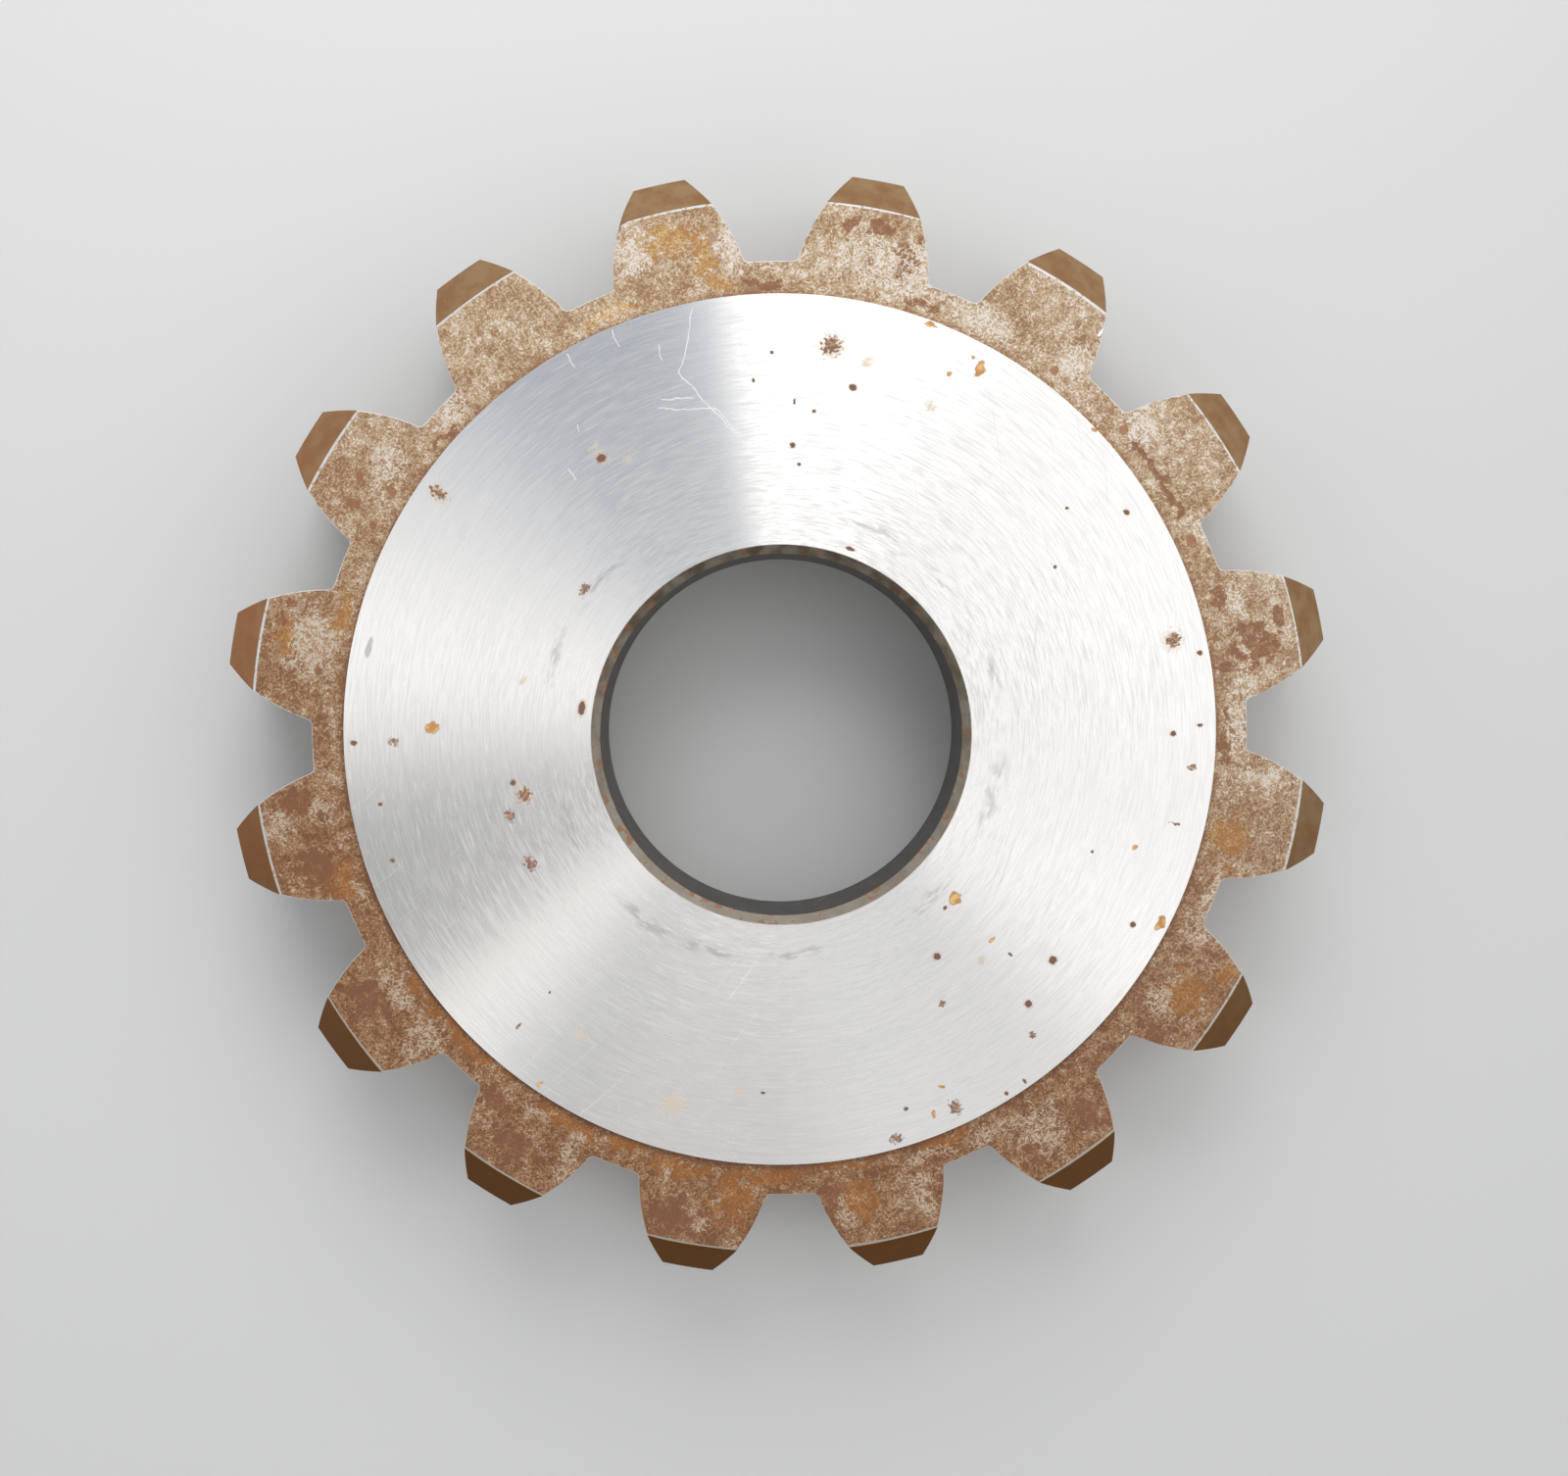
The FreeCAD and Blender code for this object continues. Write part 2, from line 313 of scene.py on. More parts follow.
def placed(marks):
    """The marks moved from where the view shows them to where they lie on the cutter."""
    result = []
    for azimuth, radius, around_axis, outward in marks:
        x, y = radius * direction(math.radians(azimuth))
        y_there = y + VIEW_STRETCH * ((BOSS / MM) ** 2 - y * y)
        x_there = x - VIEW_STRETCH * x * y
        azimuth_there = math.degrees(math.atan2(y_there, x_there))
        result.append((azimuth_there, math.hypot(x_there, y_there), around_axis, outward))
    return result


# On the ground face: round pits, speckled clusters, stains, smears and soiled patches.
PITS = [
    (65.4, 42.7, 0.45, 0.4), (78.7, 46.0, 0.2, 0.2), (81.8, 42.7, 0.18, 0.25), (74.9, 34.7, 0.3, 0.3),
    (73.3, 32.4, 0.2, 0.2), (71.3, 39.0, 0.2, 0.2), (74.9, 40.0, 0.12, 0.3), (19.4, 49.9, 0.35, 0.3),
    (25.0, 44.2, 0.18, 0.18), (17.9, 39.0, 0.2, 0.2), (110.9, 39.6, 0.55, 0.45), (56.0, 23.6, 0.5, 0.2),
    (169.4, 52.0, 0.3, 0.35), (178.2, 49.6, 0.2, 0.2), (186.3, 49.9, 0.25, 0.25), (178.9, 33.2, 0.35, 0.3),
    (216.4, 42.7, 0.15, 0.15), (357.7, 52.1, 0.3, 0.3), (347.9, 51.3, 0.2, 0.35), (346.7, 48.0, 0.33, 0.3),
    (318.4, 49.3, 0.33, 0.33), (307.1, 43.7, 0.5, 0.45), (299.5, 45.3, 0.4, 0.45),
    (303.0, 39.4, 0.15, 0.25), (325.9, 41.0, 0.2, 0.15), (292.0, 33.8, 0.42, 0.38),
    (300.0, 29.8, 0.25, 0.2), (292.2, 52.4, 0.2, 0.3), (289.3, 52.4, 0.2, 0.25), (254.8, 44.5, 0.28, 0.15),
    (275.8, 48.9, 0.25, 0.25), (161.6, 24.3, 0.8, 0.4),
]
CLUSTERS = [
    (69.8, 47.2, 1.4, 1.3), (0.1, 49.2, 0.9, 1.1), (132.8, 50.7, 0.7, 1.3), (182.0, 32.2, 1.1, 1.0),
    (185.2, 34.6, 0.9, 0.7), (195.9, 34.6, 1.1, 0.9), (131.9, 29.3, 1.1, 0.6), (342.1, 50.6, 0.4, 0.7),
    (282.3, 50.9, 0.9, 1.1), (296.9, 48.5, 0.5, 0.6), (169.4, 47.2, 0.6, 0.7), (273.3, 52.0, 1.0, 0.7),
    (216.2, 48.4, 0.25, 0.5), (333.9, 49.7, 0.2, 1.0), (287.9, 39.0, 0.5, 0.5),
]
ORANGE_STAINS = [
    (48.4, 50.2, 0.6, 1.2), (52.0, 48.1, 0.4, 0.4), (49.9, 51.2, 0.25, 0.25), (167.3, 42.4, 0.8, 1.0),
    (320.4, 52.2, 1.1, 0.6), (328.9, 45.7, 0.35, 0.3), (302.6, 36.5, 0.6, 0.35), (303.3, 29.8, 0.9, 0.8),
    (279.2, 50.7, 0.35, 0.6), (281.6, 48.0, 0.2, 0.4), (31.0, 52.9, 0.5, 0.25), (56.9, 52.8, 0.8, 0.2),
    (223.5, 52.4, 0.35, 0.4),
]
TAN_STAINS = [
    (69.8, 47.2, 2.2, 2.0), (64.1, 45.9, 0.9, 0.7), (110.9, 39.6, 1.0, 1.0), (111.2, 41.3, 0.6, 0.5),
    (106.7, 37.9, 0.7, 0.5), (156.8, 31.9, 0.5, 0.5), (298.5, 37.6, 0.8, 0.7), (241.5, 47.6, 2.0, 1.7),
    (224.5, 44.6, 0.7, 0.7), (260.7, 42.9, 0.3, 0.3), (251.2, 44.6, 0.5, 0.6), (52.4, 43.3, 0.7, 0.8),
    (0.1, 49.2, 1.5, 1.6), (132.8, 50.7, 1.4, 1.8), (182.0, 32.2, 1.6, 1.4),
]
GREY_SMEARS = [(156.2, 51.1, 1.5, 0.35)]
SOILED = [
    (222.0, 28.7, 6.0, 1.1), (240.0, 28.4, 5.0, 1.0), (262.0, 27.6, 5.0, 0.8), (298.0, 27.6, 6.0, 0.9),
    (330.0, 27.2, 7.0, 1.1), (2.0, 26.9, 5.0, 0.8), (30.0, 27.0, 4.0, 0.7), (52.0, 27.3, 6.0, 0.9),
    (128.0, 28.2, 5.0, 0.9), (150.0, 28.8, 5.0, 0.8), (190.0, 28.4, 5.0, 0.8),
]

# On the rusted back of the teeth: zones worn back to bare metal, dark rust, round dots and orange rust.
BARE = [
    (62.4, 57.8, 4.5, 3.0), (67.0, 59.5, 3.0, 2.5), (51.0, 56.0, 3.5, 1.6), (38.5, 57.8, 1.6, 1.8),
    (27.0, 57.8, 1.5, 2.5), (12.5, 56.5, 2.0, 0.6), (3.0, 58.0, 1.4, 1.1), (353.1, 57.4, 1.5, 1.1),
    (347.8, 56.2, 3.5, 1.3), (341.4, 59.1, 1.2, 3.0), (94.5, 60.8, 1.8, 2.6), (83.3, 59.7, 1.4, 3.2),
    (123.5, 56.0, 2.5, 1.2), (133.5, 57.8, 2.2, 2.0), (157.0, 58.5, 3.5, 2.5), (178.7, 62.1, 2.0, 1.2),
    (177.7, 57.0, 1.6, 1.2), (189.1, 55.2, 1.2, 0.8), (209.0, 58.0, 1.4, 2.6), (203.0, 57.0, 3.0, 1.0),
    (231.0, 58.5, 1.2, 3.0), (226.0, 55.5, 1.8, 0.6), (248.5, 61.5, 1.4, 0.8), (274.5, 60.0, 1.0, 2.4),
    (277.0, 55.5, 3.0, 1.0), (265.0, 60.0, 1.0, 2.0), (284.5, 56.0, 2.5, 1.2), (291.0, 58.5, 2.2, 3.0),
    (312.1, 57.4, 1.8, 1.4), (321.0, 57.0, 1.2, 1.6), (326.0, 56.6, 3.0, 0.8),
]
DARK = [
    (62.4, 60.1, 1.2, 2.2), (66.0, 62.6, 1.6, 1.0), (69.5, 62.3, 1.2, 0.8), (58.7, 54.6, 2.2, 0.6),
    (22.5, 55.8, 3.6, 0.6), (79.3, 54.7, 2.0, 0.5), (126.4, 54.5, 1.6, 0.5), (184.5, 59.5, 2.5, 2.0),
    (176.0, 60.0, 1.5, 2.0), (200.6, 60.4, 2.6, 2.2), (225.2, 60.6, 3.0, 2.0), (220.0, 57.0, 1.8, 1.2),
    (245.5, 61.0, 3.0, 2.2), (264.0, 57.5, 0.8, 1.8), (296.1, 60.2, 1.6, 2.4), (288.5, 61.0, 1.3, 1.8),
    (308.1, 59.1, 1.0, 2.0), (357.5, 59.4, 2.9, 2.6), (0.3, 62.6, 1.6, 0.8), (345.0, 54.4, 2.0, 0.6),
    (4.3, 56.1, 0.9, 0.9), (355.3, 54.8, 0.6, 1.2), (349.7, 54.6, 0.9, 0.5), (17.5, 55.6, 2.4, 0.5),
]
DOTS = [
    (40.0, 55.3, 0.6, 0.6), (28.4, 55.8, 0.6, 0.6), (31.2, 56.2, 0.5, 0.4), (11.9, 55.4, 0.9, 0.7),
    (139.6, 59.1, 0.6, 1.0), (136.4, 60.1, 0.6, 0.6), (138.8, 62.0, 0.35, 0.4), (136.0, 55.7, 0.6, 0.7),
    (140.8, 55.7, 0.6, 0.5), (153.0, 61.7, 0.5, 0.7), (155.3, 62.1, 0.5, 0.4), (159.5, 60.9, 0.35, 0.35),
    (160.4, 56.9, 0.5, 0.4), (182.2, 62.4, 0.5, 0.5), (178.2, 57.2, 0.7, 0.5), (269.5, 55.9, 0.5, 0.5),
    (304.7, 54.2, 0.6, 0.4),
]
ORANGE = [
    (90.4, 61.6, 2.8, 1.9), (86.8, 58.5, 1.3, 2.8), (85.5, 55.2, 1.6, 1.0), (100.4, 54.8, 3.0, 0.8),
    (152.7, 55.3, 2.8, 1.0), (157.0, 61.5, 2.0, 1.2), (187.0, 56.5, 2.5, 1.6), (212.8, 54.3, 6.0, 0.8),
    (229.5, 54.8, 4.0, 0.9), (251.8, 58.3, 2.2, 3.0), (244.4, 55.3, 4.5, 0.9), (267.2, 59.0, 1.8, 2.2),
    (266.2, 54.1, 3.5, 0.7), (256.0, 55.0, 4.0, 1.0), (314.2, 59.6, 2.6, 2.6), (318.5, 62.4, 1.6, 1.2),
    (236.5, 54.6, 3.0, 0.8), (279.0, 54.3, 3.0, 0.6), (203.0, 54.5, 2.5, 0.7), (333.5, 57.0, 2.6, 2.2),
]

# Scratches run from one azimuth and radius to another, and are listed where they lie on the cutter.
SCRATCHES = [
    (89.0, 52.6, 90.6, 49.5), (90.6, 49.5, 93.0, 45.4), (93.0, 45.4, 91.0, 42.3), (91.0, 42.3, 86.2, 36.9),
    (97.0, 43.0, 92.0, 42.2), (98.0, 42.3, 89.0, 40.3), (89.0, 40.5, 85.3, 36.6),
    (106.9, 52.7, 106.8, 50.8), (100.2, 52.8, 100.0, 50.9), (94.8, 49.3, 95.2, 47.5),
    (111.0, 44.8, 111.3, 43.9), (115.8, 41.3, 116.0, 39.6),
]
TOOTH_SCRATCHES = [(39.1, 61.9, 39.1, 62.9)]


# ---------------------------------------------------------------- materials
GRIND_ROUGHNESS = 0.20
HAIRLINE_ROUGHNESS = 0.30
GRIND_TILT = 0.31
BRIGHT_SCRATCH = (0.95, 0.95, 0.95)


class Nodes:
    """A material's node tree, built with short calls. Places are in millimetres."""

    def __init__(self, name):
        self.material = bpy.data.materials.new(name)
        self.material.use_nodes = True
        self.tree = self.material.node_tree
        self.shader = self.tree.nodes["Principled BSDF"]
        place = self.add("ShaderNodeTexCoord").outputs["Object"]
        self.mm = self.vector("MULTIPLY", place, (1 / MM,) * 3)
        self.flat = self.vector("MULTIPLY", self.mm, (1, 1, 0))
        self.radius = self.vector("LENGTH", self.flat)
        self.outward = self.vector("NORMALIZE", self.flat)

    def add(self, kind, **settings):
        node = self.tree.nodes.new(kind)
        for name, value in settings.items():
            setattr(node, name, value)
        return node

    def put(self, socket, value):
        """Links a socket to the input, or sets a plain value on it."""
        if isinstance(value, bpy.types.NodeSocket):
            self.tree.links.new(value, socket)
        elif value is not None:
            socket.default_value = value

    def math(self, operation, a, b=None, clamp=False):
        node = self.add("ShaderNodeMath", operation=operation, use_clamp=clamp)
        self.put(node.inputs[0], a)
        self.put(node.inputs[1], b)
        return node.outputs[0]

    def vector(self, operation, a, b=None):
        node = self.add("ShaderNodeVectorMath", operation=operation)
        self.put(node.inputs[0], a)
        self.put(node.inputs[1], b)
        return node.outputs["Value" if operation in ("LENGTH", "DISTANCE", "DOT_PRODUCT") else "Vector"]

    def noise(self, place, scale, detail=3.0, rough=0.5, distortion=0.0):
        node = self.add("ShaderNodeTexNoise")
        self.put(node.inputs["Vector"], place)
        node.inputs["Scale"].default_value = scale
        node.inputs["Detail"].default_value = detail
        node.inputs["Roughness"].default_value = rough
        node.inputs["Distortion"].default_value = distortion
        return node.outputs[0]

    def swing(self, noise, reach):
        """The noise about zero, times a number."""
        return self.math("MULTIPLY", self.math("SUBTRACT", noise, 0.5), reach)

    def step(self, value, low, high, to_low=0.0, to_high=1.0):
        """A smooth step from to_low at low up to to_high at high."""
        node = self.add("ShaderNodeMapRange", interpolation_type="SMOOTHSTEP")
        for socket, number in zip(node.inputs, (value, low, high, to_low, to_high)):
            self.put(socket, number)
        return node.outputs[0]

    def toward(self, x, y, low_mm, high_mm):
        """A smooth step across the cutter in the direction of (x, y)."""
        return self.step(self.vector("DOT_PRODUCT", self.flat, (x, y, 0)), low_mm, high_mm)

    def mix(self, share, a, b):
        """Colour a, turning to b as the share goes from 0 to 1."""
        node = self.add("ShaderNodeMix", data_type="RGBA")
        self.put(node.inputs[0], share)
        for socket, colour in ((node.inputs[6], a), (node.inputs[7], b)):
            self.put(socket, colour if isinstance(colour, bpy.types.NodeSocket) else (*colour, 1))
        return node.outputs[2]

    def streaks(self, length_mm, width_mm, centre=(0, 0, 0), detail=2.0):
        """Noise drawn out along circles about a centre, in streaks of about that length and width."""
        place = self.vector("SUBTRACT", self.flat, centre)
        typical_radius = 40.0
        along = self.vector("MULTIPLY", self.vector("NORMALIZE", place), (typical_radius / length_mm,) * 3)
        across = self.add("ShaderNodeCombineXYZ")
        self.put(across.inputs["Z"], self.math("DIVIDE", self.vector("LENGTH", place), width_mm))
        return self.noise(self.vector("ADD", along, across.outputs[0]), 1.0, detail)

    def bump(self, height, depth_mm):
        node = self.add("ShaderNodeBump")
        node.inputs["Distance"].default_value = depth_mm * MM
        self.put(node.inputs["Height"], height)
        return node.outputs[0]

    def shaken(self, scale, reach_mm):
        """The place, shifted at random by up to about that reach, which makes a mark's edge ragged."""
        random_colour = self.noise(self.flat, scale).node.outputs["Color"]
        centred = self.vector("SUBTRACT", random_colour, (0.5, 0.5, 0.5))
        shift = self.vector("MULTIPLY", centred, (4 * reach_mm, 4 * reach_mm, 0))
        return self.vector("ADD", self.flat, shift)

    def shaken_polar(self, scale, reach_mm):
        """The shaken place as degrees round from CUT and millimetres from the axis."""
        place = self.shaken(scale, reach_mm)
        split = self.add("ShaderNodeSeparateXYZ")
        self.put(split.inputs[0], place)
        angle = self.math("ARCTAN2", split.outputs["Y"], split.outputs["X"])
        turns = self.math("SUBTRACT", self.math("DIVIDE", angle, 2 * math.pi), CUT / 360)
        joined = self.add("ShaderNodeCombineXYZ")
        self.put(joined.inputs["X"], self.math("MULTIPLY", self.math("FRACT", turns), 360.0))
        self.put(joined.inputs["Y"], self.vector("LENGTH", place))
        return joined.outputs[0]

    def nearest(self, polar_place, marks):
        """Distance to the nearest mark, as a share of its size: 0 in its middle, 1 at its rim."""
        found = None
        for azimuth, radius, around_axis, outward in placed(marks):
            per_degree = math.radians(radius) / around_axis
            node = self.add("ShaderNodeVectorMath", operation="MULTIPLY_ADD")
            self.put(node.inputs[0], polar_place)
            node.inputs[1].default_value = (per_degree, 1 / outward, 0)
            node.inputs[2].default_value = (-((azimuth - CUT) % 360) * per_degree, -radius / outward, 0)
            away = self.vector("LENGTH", node.outputs[0])
            found = away if found is None else self.math("MINIMUM", found, away)
        return found

    def nearest_line(self, place, scratches):
        """Distance in millimetres to the nearest scratch."""
        found = None
        for azimuth, radius, end_azimuth, end_radius in scratches:
            first = radius * direction(math.radians(azimuth))
            run = end_radius * direction(math.radians(end_azimuth)) - first
            from_first = self.vector("SUBTRACT", place, (*first, 0))
            share = self.vector("DOT_PRODUCT", from_first, (*(run / (run @ run)), 0))
            foot = self.vector("MULTIPLY", self.math("MULTIPLY", share, 1.0, clamp=True), (*run, 0))
            away = self.vector("DISTANCE", from_first, foot)
            found = away if found is None else self.math("MINIMUM", found, away)
        return found

    def finish(self, **inputs):
        """Sets the shader's inputs, with underscores for the spaces in their names."""
        for name, value in inputs.items():
            self.put(self.shader.inputs[name.replace("_", " ")], value)
        return self.material


def ground_face():
    nodes = Nodes("ground_face")
    speckle = nodes.noise(nodes.flat, 2.4, detail=4, rough=0.6)
    mottle = nodes.noise(nodes.flat, 1.1)

    # The steel: grinding lines round the axis, with fainter ones across them.
    coarse = nodes.streaks(9.0, 0.40)
    fine = nodes.streaks(3.0, 0.20)
    crossing = nodes.math("MULTIPLY", nodes.streaks(8.0, 0.25, (-70, 35, 0)), 0.91)
    hairlines = nodes.step(nodes.math("MAXIMUM", fine, crossing), 0.58, 0.70)
    shine = nodes.math("ADD", nodes.math("MULTIPLY", fine, 0.6), nodes.math("MULTIPLY", coarse, 0.4))
    steel = nodes.mix(nodes.step(shine, 0.40, 0.60), (0.87, 0.86, 0.845), (0.93, 0.915, 0.895))
    lean = nodes.vector("MULTIPLY", nodes.outward, nodes.swing(fine, GRIND_TILT))
    normal = nodes.vector("NORMALIZE", nodes.vector("ADD", lean, (0, 0, 1)))

    # Grey dirt on it.
    patches = nodes.step(nodes.nearest(nodes.shaken_polar(0.4, 0.6), SOILED), 0.2, 1.1, 1, 0)
    soiled = nodes.math("MULTIPLY", patches, nodes.step(nodes.streaks(3.0, 0.60, detail=4), 0.42, 0.60))
    smears = nodes.step(nodes.nearest(nodes.shaken_polar(1.2, 0.15), GREY_SMEARS), 0.8, 1.05, 0.6, 0)
    dirt = nodes.math("MAXIMUM", nodes.math("MULTIPLY", soiled, 0.42), smears)

    # Where the rust is: faint tan, bright orange with a dark rim, dark speckled clusters, and pits in rings.
    tan_away = nodes.nearest(nodes.shaken_polar(0.9, 0.5), TAN_STAINS)
    tan = nodes.step(nodes.math("ADD", tan_away, nodes.swing(speckle, 2.2)), 0.25, 1.15, 0.55, 0)
    orange_away = nodes.nearest(nodes.shaken_polar(1.1, 0.30), ORANGE_STAINS)
    orange = nodes.step(orange_away, 0.75, 1.1, 1, 0)
    cluster_away = nodes.nearest(nodes.shaken_polar(1.7, 0.16), CLUSTERS)
    cluster = nodes.step(nodes.math("ADD", cluster_away, nodes.swing(speckle, 2.6)), 0.55, 1.0, 0.9, 0)
    pit_away = nodes.nearest(nodes.shaken_polar(2.4, 0.10), PITS)
    pit = nodes.step(pit_away, 0.9, 1.2, 1, 0)
    ring = nodes.step(pit_away, 1.0, 1.9, 0.4, 0)
    rust = nodes.math("MAXIMUM", cluster, pit)
    scratches = nodes.step(nodes.nearest_line(nodes.shaken(0.3, 0.4), SCRATCHES), 0.02, 0.09, 0.7, 0)

    orange_shade = nodes.mix(nodes.step(mottle, 0.42, 0.62), (0.55, 0.27, 0.09), (0.76, 0.50, 0.21))
    orange_shade = nodes.mix(nodes.step(orange_away, 0.55, 1.0, 0, 0.6), orange_shade, (0.30, 0.13, 0.05))
    brown = nodes.mix(nodes.step(speckle, 0.45, 0.55), (0.18, 0.080, 0.042), (0.42, 0.22, 0.11))
    brown = nodes.mix(pit, brown, (0.20, 0.11, 0.075))
    colour = nodes.mix(dirt, steel, (0.36, 0.35, 0.34))
    colour = nodes.mix(tan, colour, (0.64, 0.46, 0.28))
    colour = nodes.mix(orange, colour, orange_shade)
    colour = nodes.mix(ring, colour, (0.60, 0.37, 0.20))
    colour = nodes.mix(rust, colour, brown)
    colour = nodes.mix(scratches, colour, BRIGHT_SCRATCH)

    dull = nodes.math("MAXIMUM", nodes.math("MAXIMUM", rust, orange), nodes.math("MAXIMUM", tan, scratches))
    grind_roughness = nodes.step(hairlines, 0, 1, GRIND_ROUGHNESS, HAIRLINE_ROUGHNESS)
    return nodes.finish(
        Base_Color=colour,
        Metallic=nodes.math("SUBTRACT", 1.0, dull, clamp=True),
        Roughness=nodes.math("MAXIMUM", nodes.math("MULTIPLY", dull, 0.55), grind_roughness),
        Anisotropic=1.0,
        Tangent=nodes.outward,
        Normal=normal)


def tooth_back():
    nodes = Nodes("tooth_back")
    worms = nodes.noise(nodes.mm, 1.3, detail=2, distortion=1.3)
    grit = nodes.noise(nodes.mm, 3.5, rough=0.65)
    clouds = nodes.noise(nodes.mm, 0.20)
    blotches = nodes.noise(nodes.mm, 0.8, rough=0.55)
    ridge = nodes.math("ABSOLUTE", nodes.math("SUBTRACT", worms, 0.5))
    breakup = nodes.swing(blotches, 3.0)
    ragged = nodes.shaken_polar(0.45, 0.8)
    # Toward the lower side: the colours below darken there as painted shade, and turn redder with deeper
    # rust.
    lower = nodes.toward(-0.50, -0.866, -45, 42)

    def patches(marks, full, gone):
        """Patches with broken-up edges, whole up to one distance and gone by another."""
        away = nodes.math("ADD", nodes.nearest(ragged, marks), breakup)
        return nodes.step(away, full, gone, 1, 0)

    bare_zone = nodes.step(nodes.nearest(ragged, BARE), 0.2, 1.8, 1, 0)
    dark = patches(DARK, 0.75, 1.1)
    orange = patches(ORANGE, 0.6, 1.3)
    dots = nodes.step(nodes.nearest(nodes.shaken_polar(1.0, 0.15), DOTS), 0.8, 1.1, 0.8, 0)
    # A band at the boss's foot where the rust is kept thicker and darker: thicker rust in the corner, and
    # painted shade of the step.
    crevice_rust_and_painted_shade = nodes.step(nodes.radius, BOSS / MM + 0.1, BOSS / MM + 1.1, 1, 0)

    # How far the rust is worn off: thin rust first, then bare metal.
    worm = nodes.step(ridge, 0.01, 0.085, 1, 0)
    wear = nodes.math("MULTIPLY", worm, nodes.step(bare_zone, 0, 1, 0.34, 0.65))
    # Near the boss's foot and toward the lower side less rust is worn off, which darkens them partly as
    # painted shade.
    for share, weight in ((grit, 1.1), (clouds, 0.6), (blotches, 0.7), (bare_zone, 0.22), (dark, -0.22),
                          (crevice_rust_and_painted_shade, -0.18), (orange, -0.10), (lower, -0.08)):
        wear = nodes.math("ADD", wear, nodes.math("MULTIPLY", share, weight))
    wear = nodes.math("SUBTRACT", wear, 1.09)
    thin = nodes.step(wear, -0.05, 0.36)
    bare = nodes.step(wear, 0.42, 0.54)

    # Most of the colours turn darker and redder toward the lower side: the redder tone and part of the
    # darkening are deeper rust, the rest of the darkening is painted shade.
    thick_rust = nodes.mix(lower, (0.29, 0.155, 0.080), (0.168, 0.065, 0.024))
    thin_rust = nodes.mix(lower, (0.52, 0.385, 0.24), (0.33, 0.18, 0.085))
    orange_rust = nodes.mix(lower, nodes.mix(thin, (0.42, 0.21, 0.065), (0.62, 0.41, 0.17)),
                            nodes.mix(thin, (0.29, 0.105, 0.024), (0.41, 0.18, 0.05)))
    dark_rust = nodes.mix(thin, (0.22, 0.09, 0.042), (0.33, 0.16, 0.08))
    # Bare metal darker toward the lower side: painted shade.
    metal = nodes.mix(lower, (0.74, 0.67, 0.60), (0.52, 0.42, 0.32))
    dot_rust = nodes.mix(lower, (0.33, 0.135, 0.055), (0.17, 0.055, 0.025))

    colour = nodes.mix(thin, thick_rust, thin_rust)
    colour = nodes.mix(nodes.math("MULTIPLY", orange, 0.75), colour, orange_rust)
    colour = nodes.mix(nodes.math("MULTIPLY", dark, 0.65), colour, dark_rust)
    colour = nodes.mix(bare, colour, metal)
    colour = nodes.mix(dots, colour, dot_rust)
    scratches = nodes.step(nodes.nearest_line(nodes.flat, TOOTH_SCRATCHES), 0.1, 0.2, 1, 0)
    colour = nodes.mix(scratches, colour, BRIGHT_SCRATCH)
    return nodes.finish(
        Base_Color=colour,
        Metallic=nodes.math("MULTIPLY", bare, 0.3),
        Roughness=nodes.step(bare, 0, 1, 0.65, 0.5),
        Normal=nodes.bump(grit, 0.03))


def tip_bevel():
    nodes = Nodes("tip_bevel")
    clouds = nodes.noise(nodes.mm, 0.35, detail=4, rough=0.55)
    grit = nodes.noise(nodes.mm, 3.0)
    dots = nodes.step(nodes.noise(nodes.mm, 1.3, detail=2), 0.70, 0.74)
    left = nodes.toward(-0.95, -0.05, 25, 62)
    lower = nodes.toward(-0.25, -0.97, -15, 60)
    colour = nodes.mix(nodes.step(clouds, 0.35, 0.65), (0.238, 0.124, 0.056), (0.278, 0.178, 0.090))
    colour = nodes.mix(nodes.math("MULTIPLY", left, 0.6), colour, (0.350, 0.145, 0.062))
    # Darker toward the lower side: painted shade, as the lower bevels face away from the light.
    colour = nodes.mix(lower, colour, (0.126, 0.047, 0.007))
    colour = nodes.mix(nodes.math("MULTIPLY", dots, 0.3), colour, (0.36, 0.25, 0.14))
    return nodes.finish(
        Base_Color=colour,
        Metallic=0.0,
        Roughness=0.55,
        Specular_IOR_Level=0.08,
        Normal=nodes.bump(grit, 0.01))


def flank():
    nodes = Nodes("flank")
    lines = nodes.noise(nodes.vector("MULTIPLY", nodes.mm, (1, 1, 0.08)), 1.8)
    clouds = nodes.noise(nodes.mm, 0.10, detail=5, rough=0.62)
    dots = nodes.step(nodes.noise(nodes.mm, 0.9), 0.64, 0.70)
    colour = nodes.mix(nodes.step(clouds, 0.30, 0.68), (0.25, 0.185, 0.125), (0.40, 0.355, 0.30))
    colour = nodes.mix(nodes.step(lines, 0.35, 0.65, 0.25, 0), colour, (0.55, 0.52, 0.47))
    colour = nodes.mix(nodes.math("MULTIPLY", dots, 0.8), colour, (0.20, 0.09, 0.04))
    return nodes.finish(
        Base_Color=colour,
        Metallic=nodes.math("SUBTRACT", 0.8, dots, clamp=True),
        Roughness=nodes.step(lines, 0.3, 0.7, 0.34, 0.48),
        Normal=nodes.bump(lines, 0.008))


def chamfer():
    nodes = Nodes("chamfer")
    clouds = nodes.noise(nodes.mm, 0.5, detail=4)
    dots = nodes.step(nodes.noise(nodes.mm, 0.75), 0.58, 0.63)
    # Dark at the top of the bore and light toward its lower side: painted shade and painted light, as the
    # chamfer faces away from the light at the top and toward it below.
    colour = nodes.mix(nodes.toward(-0.22, -0.97, -22, 26), (0.155, 0.120, 0.080), (0.40, 0.345, 0.275))
    colour = nodes.mix(nodes.step(clouds, 0.35, 0.65, 0, 0.35), colour, (0.60, 0.55, 0.48))
    colour = nodes.mix(nodes.math("MULTIPLY", dots, 0.8), colour, (0.27, 0.11, 0.038))
    return nodes.finish(
        Base_Color=colour,
        Metallic=nodes.math("SUBTRACT", 0.5, dots, clamp=True),
        Roughness=0.45)


